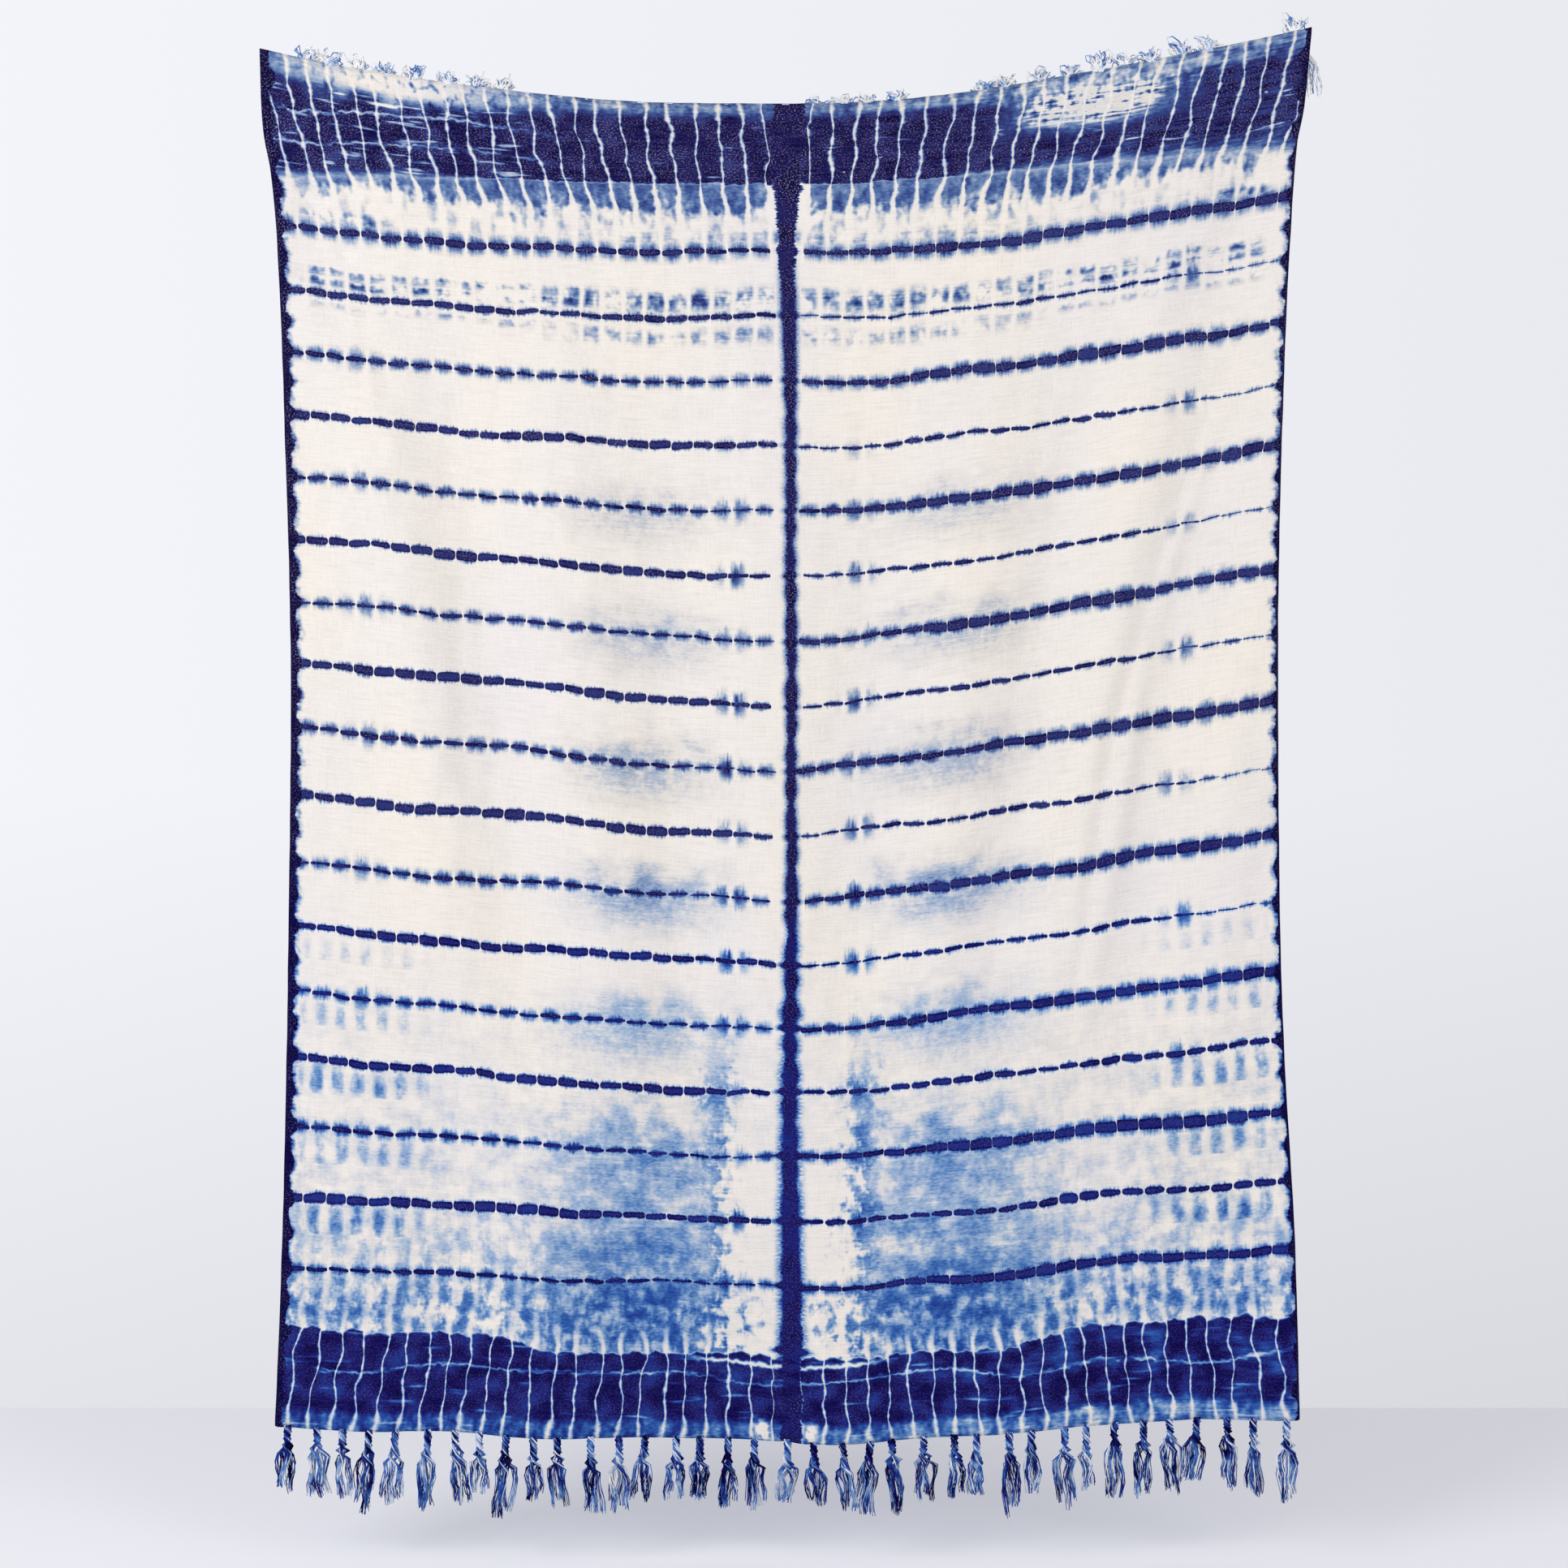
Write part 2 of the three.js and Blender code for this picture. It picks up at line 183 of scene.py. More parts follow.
def hang(across, down):
    """Where a place in the weave hangs, before its edges curl."""
    share = across / HALF_WIDTH
    left = across < 0
    half = np.where(left, level_value("left", down), level_value("right", down))
    rise = np.where(left, level_value("rise_left", down), level_value("rise_right", down))
    bend = np.where(left, level_value("bend_left", down), level_value("bend_right", down))
    rounded = np.hypot(share, CENTRE_ROUNDING) - CENTRE_ROUNDING
    lift = rise * (rounded / (math.hypot(1, CENTRE_ROUNDING) - CENTRE_ROUNDING)) ** bend
    wave = np.sin(2 * math.pi * (across + HEM_LIFT_LENGTH / 4) / HEM_LIFT_LENGTH)
    hem_drop = HEM_LIFT * smooth(HEM_WAVE_START, WEAVE_LENGTH, down) * wave
    taken_up = HEM_TAKE_UP * smooth(HEM_TAKE_UP_START, WEAVE_LENGTH, down)
    return np.stack([share * half, depth_at(across, down), lift + taken_up - hem_drop - down], -1)


def drape(across, down):
    """Where a place in the weave hangs, with the side edges curled and the top hem rolled back."""
    across, down = np.broadcast_arrays(np.asarray(across, float), np.asarray(down, float))
    free = 1 - grip_share(across, down)
    curl = np.maximum(0, np.abs(across) - (HALF_WIDTH - CURL_WIDTH)) * free
    loose_hem = 1 - 0.8 * smooth(0.25, 0.8, np.abs(across) / HALF_WIDTH)
    roll = np.maximum(0, ROLL_WIDTH - down) * loose_hem * free
    place = hang(np.sign(across) * (np.abs(across) - curl), down + roll)
    curl_angle, roll_angle = curl / CURL_RADIUS, roll / ROLL_RADIUS
    place[..., 0] += np.sign(across) * CURL_RADIUS * np.sin(curl_angle)
    place[..., 1] += CURL_RADIUS * (1 - np.cos(curl_angle)) + ROLL_RADIUS * (1 - np.cos(roll_angle))
    place[..., 2] += ROLL_RADIUS * np.sin(roll_angle)
    return place


def puckered(across, down):
    """The draped cloth with the small puckers of the gauze."""
    place = drape(across, down)
    for waves_across, waves_down, phase, depth in PUCKERS:
        waves = across * waves_across + down * waves_down
        place[..., 1] += depth * np.sin(2 * math.pi * waves + phase)
    return place


cloth_mesh = bpy.data.meshes.new("cloth_dyed")
cloth_bm = bmesh.new()
cloth_bm.loops.layers.uv.new("weave")
bmesh.ops.create_grid(
    cloth_bm, x_segments=CLOTH_COLUMNS, y_segments=CLOTH_ROWS, size=0.5, calc_uvs=True
)
cloth_length = WEAVE_LENGTH + 2 * ROOT_STRIP
for face in cloth_bm.faces:
    face.smooth = True
    face_down = (0.5 - face.calc_center_median().y) * cloth_length - ROOT_STRIP
    face.material_index = sum(face_down > start for start in FINISH_STARTS)
flat_places = np.array([vertex.co for vertex in cloth_bm.verts])
hung_places = puckered(
    flat_places[:, 0] * WEAVE_WIDTH, (0.5 - flat_places[:, 1]) * cloth_length - ROOT_STRIP
)
for vertex, place in zip(cloth_bm.verts, hung_places):
    vertex.co = place
bmesh.ops.reverse_faces(cloth_bm, faces=cloth_bm.faces)
cloth_bm.to_mesh(cloth_mesh)
cloth_bm.free()
cloth = bpy.data.objects.new("cloth_dyed", cloth_mesh)
bpy.context.scene.collection.objects.link(cloth)
thickness = cloth.modifiers.new("thickness", "SOLIDIFY")
thickness.thickness = CLOTH_THICKNESS
thickness.offset = 0

# The dye: indigo on unbleached cotton. The cloth was folded in half and pleated lengthwise, then
# bound across every 80 mm, so each binding left a row of dashes with a white line at every pleat.
# All dye is read off the weave in millimetres, as an amount from 0 for bare cotton to 1 for navy.
MILLIMETRES = 1000
PLEAT = 27.4
FIRST_PLEAT = 17.2
FOLD_ASIDE = 3.6
ROW_PITCH = 79.8
FIRST_ROW = 185.0
SECOND_ROW = 265.0
ROWS = 17

# Half heights of the dashes near the middle fold, and how much taller they grow away from it. The
# last two are for the strong rows on the right, which merge, and for the first row's weak side.
WEAK_DASH = 1.5
WEAK_DASH_GROWTH = 1.3
STRONG_DASH = 3.3
STRONG_DASH_GROWTH = 1.7
MERGED_DASH_GROWTH = 0.9
FIRST_WEAK_DASH_GROWTH = 1.6

# The clouds' two columns: how far out they lie, how much further on the right, how far each reaches
# to both sides, and how much further it reaches near the lower end.
CLOUD_COLUMN = 192
CLOUD_COLUMN_RIGHT = 28
CLOUD_REACH = 158
CLOUD_SPREAD = 24

# The dyed selvedge's width, how much narrower it is on the right, and how far its scallops reach at
# the rows and halfway between them.
SELVEDGE = 12.2
SELVEDGE_RIGHT = 5.2
SCALLOP_AT_ROW = 7.0
SCALLOP_BETWEEN = 4.5


def shade(code):
    """A colour given as six hexadecimal digits, as linear red, green, blue and alpha."""
    values = [int(code[i : i + 2], 16) / 255 for i in (0, 2, 4)]
    return tuple(v / 12.92 if v < 0.04045 else ((v + 0.055) / 1.055) ** 2.4 for v in values) + (1,)


DEEP_BLUES = (
    (0.00, shade("ffffff")), (0.10, shade("edf1f8")), (0.24, shade("b4cef0")), (0.42, shade("6a9adb")),
    (0.58, shade("3869c0")), (0.72, shade("2842a0")), (0.86, shade("20227a")), (0.95, shade("16115c")),
    (1.00, shade("0f0a45")),
)
GREY_BLUES = (
    (0.00, shade("ffffff")), (0.10, shade("f0f1f2")), (0.24, shade("bdcbe2")), (0.42, shade("819ac6")),
    (0.58, shade("566faa")), (0.72, shade("3a4686")), (0.86, shade("2b2b64")), (0.95, shade("1e1b57")),
    (1.00, shade("120e3e")),
)
BARE_WARM, BARE_COOL, SLUB_SHADE = shade("f2eadf"), shade("ece7e3"), shade("c0b6ac")
BARE_YARN = shade("807a9c")
COTTON_ROUGHNESS = 0.95


class Reading:
    """A number or colour that varies over a surface: a node's socket that takes part in sums."""

    def __init__(self, finish, socket):
        self.finish = finish
        self.socket = socket

    def sum(self, operation, *values):
        return self.finish.node("Math", {"operation": operation}, dict(enumerate(values)))

    def __add__(self, other):
        return self.sum("ADD", self, other)

    def __sub__(self, other):
        return self.sum("SUBTRACT", self, other)

    def __rsub__(self, other):
        return self.sum("SUBTRACT", other, self)

    def __mul__(self, other):
        return self.sum("MULTIPLY", self, other)

    def __truediv__(self, other):
        return self.sum("DIVIDE", self, other)

    def __pow__(self, other):
        return self.sum("POWER", self, other)

    def __gt__(self, other):
        return self.sum("GREATER_THAN", self, other)

    def __lt__(self, other):
        return self.sum("LESS_THAN", self, other)

    def __abs__(self):
        return self.sum("ABSOLUTE", self)

    __radd__ = __add__
    __rmul__ = __mul__

    def floor(self):
        return self.sum("FLOOR", self)

    def fract(self):
        return self.sum("FRACT", self)

    def most(self, other):
        return self.sum("MAXIMUM", self, other)

    def least(self, other):
        return self.sum("MINIMUM", self, other)

    def held(self):
        """The same, kept between 0 and 1."""
        return self.most(0.0).least(1.0)

    def rise(self, start, end):
        """0 on the start's side and 1 on the end's side, with a smooth step between them."""
        ends = {"Value": self, "From Min": start, "From Max": end}
        return self.finish.node("MapRange", {"interpolation_type": "SMOOTHSTEP"}, ends)

    def hump(self, centre, reach):
        """1 at the centre, falling smoothly to 0 at the reach on both sides."""
        return abs(self - centre).rise(reach, 0.0)


class Finish:
    """The nodes of a new material or of the surroundings, with one method that makes them."""

    def __init__(self, block):
        self.block = block
        block.use_nodes = True
        self.tree = block.node_tree
        self.tree.nodes.clear()

    def node(self, kind, settings, values, output=0):
        made = self.tree.nodes.new("ShaderNode" + kind)
        for key, value in settings.items():
            if key == "stops":
                ramp = made.color_ramp
                while len(ramp.elements) < len(value):
                    ramp.elements.new(0.5)
                for element, (position, colour) in zip(ramp.elements, value):
                    element.position = position
                    element.color = colour
            else:
                setattr(made, key, value)
        for key, value in values.items():
            if isinstance(value, Reading):
                self.tree.links.new(value.socket, made.inputs[key])
            else:
                made.inputs[key].default_value = value
        return Reading(self, made.outputs[output]) if made.outputs else None

    def ramp(self, value, stops):
        return self.node("ValToRGB", {"stops": stops}, {"Fac": value})

    def mix(self, kind, share, first, second):
        """Two colours mixed in one of the mix node's ways."""
        values = {"Factor": share, 6: first, 7: second}
        return self.node("Mix", {"data_type": "RGBA", "blend_type": kind}, values, output=2)


class Dyed(Finish):
    """Dyed cotton, read off the weave: across it from the middle and down it from the top hem."""

    def __init__(self, name):
        super().__init__(bpy.data.materials.new(name))
        place = self.node("UVMap", {"uv_map": "weave"}, {})
        parts = [self.node("SeparateXYZ", {}, {"Vector": place}, output=i) for i in range(2)]
        from_middle = (parts[0] - 0.5) * (WEAVE_WIDTH * MILLIMETRES)
        self.across = from_middle - FOLD_ASIDE
        self.down = (1 - parts[1]) * (cloth_length * MILLIMETRES) - ROOT_STRIP * MILLIMETRES
        self.away = abs(self.across)
        self.right = self.across > 0
        self.inward = HALF_WIDTH * MILLIMETRES - abs(from_middle)
        self.patch = self.mottle(38, 30, 1)
        self.blotch = self.mottle(11, 13, 2)
        self.weft_streak = self.mottle(48, 4.0, 3)
        self.warp_streak = self.mottle(2.6, 15, 4, 0.0)
        self.sway = self.mottle(30, 34, 5, 0.0)
        self.slow = self.mottle(150, 260, 6, 0.0)
        self.hairs = self.mottle(9, 2.6, 8, 0.0)

    def noise(self, x, y, detail):
        """Uneven values, mostly from -1 to 1, with hills about one unit wide."""
        place = self.node("CombineXYZ", {}, {"X": x, "Y": y})
        values = {"Vector": place, "Scale": 1.0, "Detail": detail, "Roughness": 0.6}
        return (self.node("TexNoise", {"noise_dimensions": "2D"}, values) - 0.5) * 3.4

    def mottle(self, wide, tall, salt, detail=1.0):
        return self.noise(self.across / wide + salt * 17.3, self.down / tall + salt * 9.1, detail)

    def bind(self, lean, loosened):
        """Pleats and rows, and the dashes, bleeding and smudges where the bindings let the dye in."""
        away, right, down = self.away, self.right, self.down
        blotch, warp_streak, sway, slow = self.blotch, self.warp_streak, self.sway, self.slow
        row_at = (down + slow * 3.0 + sway * 0.8 - FIRST_ROW) / ROW_PITCH + 0.5
        row = self.row = row_at.floor()
        afresh = (row.most(0.0).least(ROWS) * 0.618).fract() * 11 - 5.5
        wavy = sway * (1.2 + 2.2 * loosened) + blotch * (0.3 + 0.3 * loosened) + slow * 3.0
        shifted = away - lean + afresh + wavy - FIRST_PLEAT
        pleat_at = shifted / PLEAT
        in_pleat = pleat_at.fract()
        off_pleat = abs(in_pleat - 0.5)
        self.off_pleat = off_pleat
        self.past_core = shifted > 0
        self.to_pleat_line = (0.5 - off_pleat) * PLEAT
        self.bar = (off_pleat * PLEAT).rise(12.5, 4.5) * self.past_core

        below_row = self.below_row = (row_at.fract() - 0.5) * ROW_PITCH
        self.from_row = abs(below_row)
        self.below_odd_row = ((row_at * 0.5 + 0.25).fract() - 0.5) * (2 * ROW_PITCH)
        even_row = self.even_row = (row * 0.5).fract() * 2
        in_rows = (row > -0.5) * (row < ROWS - 0.5)
        place = self.node("CombineXYZ", {}, {"X": pleat_at.floor() + right * 40, "Y": row})
        chance = self.node("TexWhiteNoise", {"noise_dimensions": "2D"}, {"Vector": place}, output=1)
        parts = [self.node("SeparateXYZ", {}, {"Vector": chance}, output=i) for i in range(3)]
        luck, self.shift, other_luck = parts
        along_row = self.noise(self.across / 95, row * 5.3, 0.0)

        # The rows take turns to be strong, on the right when they are weak on the left
        strong = even_row + right - even_row * right * 2
        off_centre = away.rise(30, 210)
        merging = strong * right
        thinned = away.rise(400, 570) * down.rise(1260, 1130) * 1.9 - down.rise(1130, 1290) * 1.4
        weak = WEAK_DASH + WEAK_DASH_GROWTH * off_centre - right * thinned
        height = weak + (STRONG_DASH + STRONG_DASH_GROWTH * off_centre - weak) * strong
        height = height * (0.87 + 0.26 * luck) + merging * away.rise(150, 330) * MERGED_DASH_GROWTH
        height = height * (1 + 0.20 * along_row - 0.26 * down.hump(SECOND_ROW, 70))
        height = height + FIRST_WEAK_DASH_GROWTH * (1 - strong) * down.rise(235, 205)
        filled = 0.95 + 0.03 * strong + 0.015 * merging
        squareness = 6.0 + 3 * strong + 11 * merging
        lens = (1 - (off_pleat * 2 / filled) ** squareness).most(0.0) ** 0.5 * self.past_core
        slant = (other_luck - 0.5) * (in_pleat - 0.5) * 4
        from_dash = abs(below_row + (self.shift - 0.5) * 1.6 + slant) - height * lens
        from_dash = from_dash + warp_streak * 0.35 + blotch * 0.6
        dash = from_dash.rise(1.2, -1.2) * lens.rise(0.0, 0.4) * (0.88 + 0.12 * other_luck)
        dash = dash * (1 - 0.13 * from_dash.rise(-1.4, -4.0))

        # Bleeding is longest on the odd rows; smudges stand on pleats near the middle and the sides
        reach = 3.0 + 6.0 * (1 - even_row) + 5 * down.rise(330, 120) + 2.5 * other_luck
        hairy = (from_dash + warp_streak * 0.9 + blotch * 0.8).most(0.0)
        bleed = (1 - hairy / reach).most(0.0) ** 1.7
        bleed = bleed * (0.45 * lens + 0.55 * self.bar)
        bleed = bleed * (0.44 + 0.18 * self.patch + 0.20 * (1 - even_row))
        spots = away.hump(552, 44) * (1 - even_row) + away.hump(512, 40) * right * even_row
        smudge = away.hump(72 + 20 * right, 33) * down.rise(380, 520) + 0.7 * spots
        smudge = smudge * self.bar * (below_row + 2 * blotch + 2 * warp_streak).hump(0.0, 22)
        smudge = smudge * (0.34 + 0.62 * self.shift + 0.12 * warp_streak)
        return bleed.most(smudge).most(dash) * in_rows

    def cloud(self):
        """Pale clouds that crept in at the odd rows, in two columns that grow stronger downwards."""
        down, patch = self.down, self.patch
        spread_out = down.rise(1160, 1380)
        column = self.away + patch * 16 + self.slow * 14
        column = column - CLOUD_COLUMN - self.right * CLOUD_COLUMN_RIGHT
        column = column.hump(0.0, CLOUD_REACH + CLOUD_SPREAD * spread_out)
        near_odd_row = (self.below_odd_row + patch * 12).hump(6, 64)
        rows = near_odd_row + (1 - near_odd_row) * spread_out * (0.74 + 0.05 * self.weft_streak)
        growth = 0.20 * down.rise(330, 600) + 0.12 * down.rise(700, 1050)
        growth = growth + 0.13 * down.rise(1150, 1430)
        grain = 0.96 + 0.15 * self.weft_streak + 0.38 * patch + 0.20 * self.blotch
        return (column * rows * growth * grain).most(0.0)

    def edges(self, fold_widths):
        """The dark middle fold, which swells between the rows, and the dyed selvedges."""
        down, hairs, blotch, from_row = self.down, self.hairs, self.blotch, self.from_row
        length = WEAVE_LENGTH * MILLIMETRES
        widest = max(half_width for _, half_width in fold_widths)
        stops = [(at / length, (half_width / widest,) * 3 + (1,)) for at, half_width in fold_widths]
        width = self.ramp(down / length, stops) * widest
        knot = from_row.rise(7.0, 0.0)
        swelling = down.rise(300, 360) * (1 - 0.7 * down.rise(1180, 1420))
        swell = 0.62 + 0.44 * self.below_row.hump(-19, 24) + 0.34 * self.below_row.hump(20, 20)
        swell = swell + 0.18 * self.patch
        half = width * (1 - swelling + swelling * swell) + (4 + 6 * down.rise(900, 1200)) * knot
        core_aside = 1.4 + 4.0 * down.rise(150, 330)
        swaying = self.slow * 2.0 + self.sway * 0.8
        from_core = abs(self.across - core_aside + swaying) - half + hairs * 1.8
        core = from_core.rise(2.0, -2.0) * (0.94 + 0.06 * self.patch - 0.06 * down.rise(900, 1300))
        reach = 9 + 5 * down.rise(950, 1300)
        bleed = (1 - from_core.most(0.0) / reach).most(0.0) ** 1.5 * (0.50 + 0.34 * hairs)
        bleed = bleed * down.rise(150, 260)
        scallops = SCALLOP_AT_ROW * from_row.rise(13, 3) + SCALLOP_BETWEEN * from_row.rise(26, 37)
        width = SELVEDGE - self.right * SELVEDGE_RIGHT + scallops + blotch * 1.8
        from_edge = self.inward - width + hairs * 0.9
        selvedge_bleed = (1 - from_edge.most(0.0) / 8).most(0.0) ** 1.4 * (0.45 + 0.25 * blotch)
        selvedge = from_edge.rise(1.8, -1.4)
        return core.most(selvedge), bleed.most(selvedge_bleed)

    def surface(self, amount, greyed=None):
        """Cotton with slubs, covered by that amount of indigo; bare threads speckle the navy."""
        down, patch = self.down, self.patch
        amount = amount + self.weft_streak * 0.014 + self.blotch * 0.012
        relief = self.mottle(6, 2.2, 21, 0.0)
        amount = amount + relief * amount * (1 - amount) * 0.22
        blue = self.ramp(amount, DEEP_BLUES)
        if greyed:
            blue = self.mix("MIX", greyed, blue, self.ramp(amount, GREY_BLUES))
        cotton = self.mix("MIX", (0.5 + 0.4 * self.slow).held(), BARE_WARM, BARE_COOL)
        slub = self.mottle(40, 1.7, 18, 0.0) * 0.6 + self.mottle(1.5, 28, 19, 0.0) * 0.4
        cotton = self.mix("MULTIPLY", (slub * 0.12 + 0.04).most(0.0), cotton, SLUB_SHADE)
        bare = (self.mottle(2.2, 1.5, 20, 0.0) - 0.1).rise(0.0, 1.0)
        bare = bare * (0.40 + 0.34 * patch).most(0.0) * amount.rise(0.70, 0.88)
        bare = bare * (0.45 + 0.75 * down.rise(1300, 200))
        tinted = self.mix("MIX", bare, self.mix("MULTIPLY", 1.0, cotton, blue), BARE_YARN)
        bump = self.node("Bump", {}, {"Strength": 0.25, "Distance": 0.001, "Height": relief})
        values = {"Base Color": tinted, "Roughness": COTTON_ROUGHNESS, "Specular IOR Level": 0.0}
        values["Normal"] = bump
        self.node("OutputMaterial", {}, {"Surface": self.node("BsdfPrincipled", {}, values)})
        cloth_mesh.materials.append(self.block)


# The dark middle fold's half width at each distance down the cloth, both in millimetres: a bulb at
# the top, thin below it, then wide.
MIDDLE_FOLD_WIDTHS = (
    (0, 19), (20, 21), (50, 18), (80, 16), (120, 14), (150, 12), (205, 9.5), (260, 9.0),
    (325, 7.4), (500, 6.8), (900, 7.2), (1000, 8.2), (1120, 9.2), (1300, 11), (1480, 13), (1600, 14),
)

# The upper part: solid blue, crossed by a white line at every pleat and by pale creases, then a fade
# of grey-blue cells and drips down to the first rows, with ladder marks round the second.
# Its sizes are in millimetres down the cloth, or across it from the middle.
UPPER_BAND = 100
UPPER_BAND_DROP = 26
WASHED_ACROSS = 386
WASHED_DOWN = 35
PALE_HEM_ACROSS = -480
CREASE_LINES_DOWN = 64
CREASE_LINES_APART = 18
CELL_HEIGHT = 34
GREYED = 0.74

upper = Dyed("dyed_cotton_upper")
across, down, away = upper.across, upper.down, upper.away
patch, blotch, weft_streak = upper.patch, upper.blotch, upper.weft_streak
lean = 0.17 * (130 - down).most(0.0) * away.rise(0, 330) + 3.5 * down.rise(190, 90)
amount = upper.bind(lean, down.rise(170, 110))
core, edge_bleed = upper.edges(MIDDLE_FOLD_WIDTHS)
past_core, off_pleat = upper.past_core, upper.off_pleat
row, below_row = upper.row, upper.below_row
outer = away.rise(330, 520)

half_width = HALF_WIDTH * MILLIMETRES
end_edge = UPPER_BAND + UPPER_BAND_DROP * (away / half_width) ** 3.0
end_edge = end_edge + blotch * 1.3 + (upper.shift - 0.5) * 3
frayed = outer + across.rise(180, 300) * (1 + 0.8 * patch)
solid_end = down.rise(end_edge + 1.6 + 9 * frayed, end_edge - 1.6 - 8 * frayed)
line_wear = upper.mottle(15, 8, 9)
flare = down.rise(88, 165)
wear = line_wear + 0.8 * down.rise(30, 8)
line = upper.to_pleat_line.rise(2.8 + 2.2 * wear + 5.5 * flare, 0.2 + 2.2 * flare) * past_core

drift = upper.mottle(170, 300, 10, 0.0) * 9
left_end = across.rise(-250, -360)
streaks = upper.mottle(60, 6.0, 11)
creases = (streaks + 0.35 * left_end + 0.2 * patch - 0.1).rise(0.6, 1.1)
creases = creases * down.rise(14, 30) * 0.85
crease_lines = abs(down - CREASE_LINES_DOWN - drift + blotch * 2.2)
crease_lines = crease_lines.hump(CREASE_LINES_APART, 3.4 + 2.2 * line_wear) * left_end
creases = creases.most(crease_lines * (0.85 + 0.9 * streaks).held())

washed = (across - WASHED_ACROSS + patch * 22).hump(0.0, 150)
washed = washed * (down - WASHED_DOWN + blotch * 5).hump(0.0, 40)
washed = (washed * (1.6 + 1.5 * weft_streak + 1.1 * blotch)).held()
hem = down.rise(26 + 7 * patch, 8)
pale_hem = down.rise(38 + 11 * patch, 14) * across.hump(PALE_HEM_ACROSS, 230)
pale_hem = pale_hem * (1.1 + 0.9 * blotch).held()
faded_side = across.rise(150, 330)
streaky = weft_streak * (0.06 + 0.10 * faded_side) - 0.06 * faded_side
tone = 0.95 - 0.13 * patch.most(0.0) - (0.44 - 0.26 * patch + 0.16 * blotch) * hem + streaky
tone = tone * (1 - 0.9 * washed) * (1 - 0.95 * pale_hem) - 0.68 * creases
solid = (tone * (1 - (0.84 + 0.14 * line_wear) * line)).most(0.0) * solid_end

under = (down - end_edge).most(0.0)
cell_height = CELL_HEIGHT - 16 * outer + 9 * patch + 5 * blotch
cells = 0.54 * under.rise(cell_height + 10, cell_height - 10) * (1 + 0.24 * blotch + 0.2 * patch)
drips = (upper.mottle(17, 24, 12) + 0.5 * patch).rise(-0.5, 1.5) * (0.56 - 0.3 * outer)
drips = drips * under.rise(100, 30)
bare_corner = across.rise(585, 605)
fade = cells.most(drips) * (1 - 0.93 * line) * (1 - solid_end) * past_core * (1 - bare_corner)
fade = fade * upper.inward.rise(16, 60)

near_middle = away.rise(380, 180)
second_row = row.hump(1.0, 0.5)
first_row = row.hump(0.0, 0.5)
tall_marks = below_row.hump(-20, 21).most(below_row.hump(24, 18) * 0.6)
jittered = below_row + 2.5 * blotch + 4 * (upper.shift - 0.5)
short_marks = jittered.hump(-14, 10).most(jittered.hump(-27, 9) * 0.8)
short_marks = short_marks.most(jittered.hump(16, 8) * 0.4)
ladder = second_row * (short_marks + (tall_marks - short_marks) * near_middle)
ladder = ladder + first_row * below_row.hump(-16, 16) * (away.rise(460, 560) + 0.6 * near_middle)
marked = (0.33 + 0.30 * blotch + 0.50 * patch + 0.12 * weft_streak).most(0.0)
marked = marked * upper.inward.rise(24, 50)
ladder = ladder * (off_pleat * PLEAT + blotch).rise(13.5, 7.0) * marked

amount = (amount * (1 - solid_end)).most(fade.most(ladder)).most(edge_bleed * (1 - solid_end))
upper.surface(amount.most(solid).most(core), GREYED)

# The middle part: bare cotton between the rows of dashes, with smudges and the first pale clouds. The
# indigo is a little grey at the top and pure blue below.
middle = Dyed("dyed_cotton")
amount = middle.bind(0.0, 0.0)
core, edge_bleed = middle.edges(MIDDLE_FOLD_WIDTHS)
amount = amount.most(middle.cloud()).most(edge_bleed).most(core)
middle.surface(amount, GREYED * middle.down.rise(1150, 850))

# The lower part: the clouds merge, the pleats nearest the sides turn blotchy, white shows along the
# middle fold, and the open end is solid blue again under its white lines and pale creases.
# Its sizes are in millimetres down the cloth, or away from the middle fold.
LOWER_BAND = 1549
LOWER_BAND_RISE = 15
LOWER_CREASE = 1579
MIDDLE_CREASE = 1563
LOWER_HEM = 1627
COLUMN_ACROSS = 90
COLUMN_RIGHT = 8
LOOP_ACROSS = 45
LOOP_DOWN = 1499
LOOP_RADIUS = 13
KNOT_ACROSS = 31
KNOT_DOWN = 1641

lower = Dyed("dyed_cotton_lower")
across, down, away = lower.across, lower.down, lower.away
patch, blotch, weft_streak = lower.patch, lower.blotch, lower.weft_streak
lean = (0.06 + 0.07 * across.rise(-200, -560)) * (down - 1535).most(0.0) * away.rise(0, 200)
amount = lower.bind(lean, down.rise(1490, 1540))
core, edge_bleed = lower.edges(MIDDLE_FOLD_WIDTHS)
past_core, off_pleat, bar = lower.past_core, lower.off_pleat, lower.bar
below_row = lower.below_row

haze = (0.08 + 0.12 * patch + 0.05 * blotch + 0.012 * weft_streak).most(0.0)
haze = haze * down.rise(1040, 1400)
speckle = lower.mottle(15, 18, 17, 2.0)
side_pleats = away.rise(430, 540) * lower.inward.rise(16, 30)
hanging = (below_row + 5 * blotch).hump(25, 27) * (0.6 + 0.4 * lower.even_row)
grown = down.rise(1020, 1200) * (1 + 0.5 * down.rise(1250, 1400))
narrow_bar = (off_pleat * PLEAT + 1.5 * blotch).rise(11.5, 2.0) * past_core
broken = (0.46 + 0.40 * speckle + 0.16 * patch).most(0.0)
blots = narrow_bar * hanging * side_pleats * grown * broken
beside_middle = away + 14 * speckle + 5 * blotch + 3 * weft_streak
beside_middle = beside_middle.hump(COLUMN_ACROSS + COLUMN_RIGHT * lower.right, 27)
beside_middle = beside_middle * down.rise(1130, 1240) * down.rise(1530, 1460)
near_row = 0.5 + 0.5 * (below_row + 6 * patch).hump(-4, 44)
blots = blots.most(beside_middle * near_row * (0.64 + 0.26 * patch + 0.10 * weft_streak))
last_gap = down.rise(1445, 1500)
